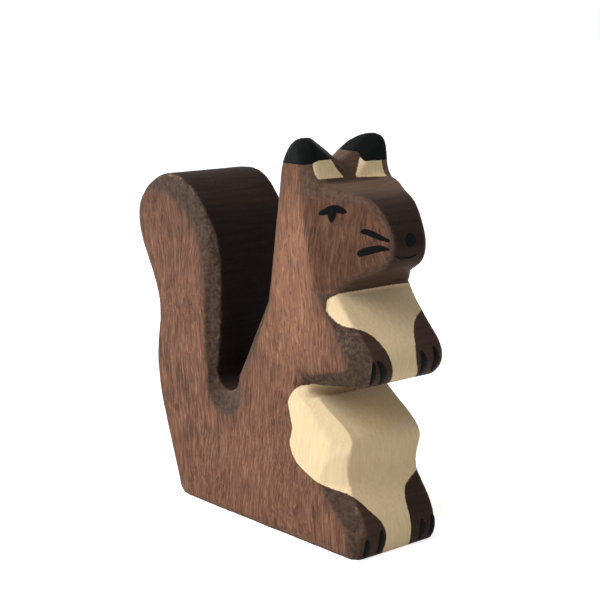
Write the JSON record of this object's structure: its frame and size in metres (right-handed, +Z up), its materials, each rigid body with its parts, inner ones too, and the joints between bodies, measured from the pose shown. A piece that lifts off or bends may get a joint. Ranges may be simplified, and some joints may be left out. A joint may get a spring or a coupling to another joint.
{
  "type": "squirrel figurine",
  "caption": "Small wooden squirrel figurine, sawn from one board, sitting up with its tail raised, with knife-carved edges, brown stain and black brush marks on ears, face and paws.",
  "frame": {"origin": "middle of the figure's box on the plane of its flat base", "axes": "+X forward to the nose, +Y across the board to the animal's left flank, +Z up"},
  "size_m": [0.0666, 0.0204, 0.0728],
  "materials": {
    "stained_wood": "brown stain, rubbed at the edges, over fine-grained pale wood, left bare on chest, belly and ears",
    "black_paint": "opaque satin black paint, brushed on by hand"
  },
  "bodies": {
    "root": {"wooden_body": "stained_wood", "nose": "black_paint", "mouth": "black_paint", "ear_tip_right": "black_paint", "ear_tip_left": "black_paint", "eye_right": "black_paint", "eye_left": "black_paint", "whisker_upper_right": "black_paint", "whisker_upper_left": "black_paint", "whisker_lower_right": "black_paint", "whisker_lower_left": "black_paint", "forepaw_claw_inner_right": "black_paint", "forepaw_claw_inner_left": "black_paint", "forepaw_claw_outer_right": "black_paint", "forepaw_claw_outer_left": "black_paint", "hind_paw_claw_inner_right": "black_paint", "hind_paw_claw_inner_left": "black_paint", "hind_paw_claw_outer_right": "black_paint", "hind_paw_claw_outer_left": "black_paint"}
  },
  "joints": []
}
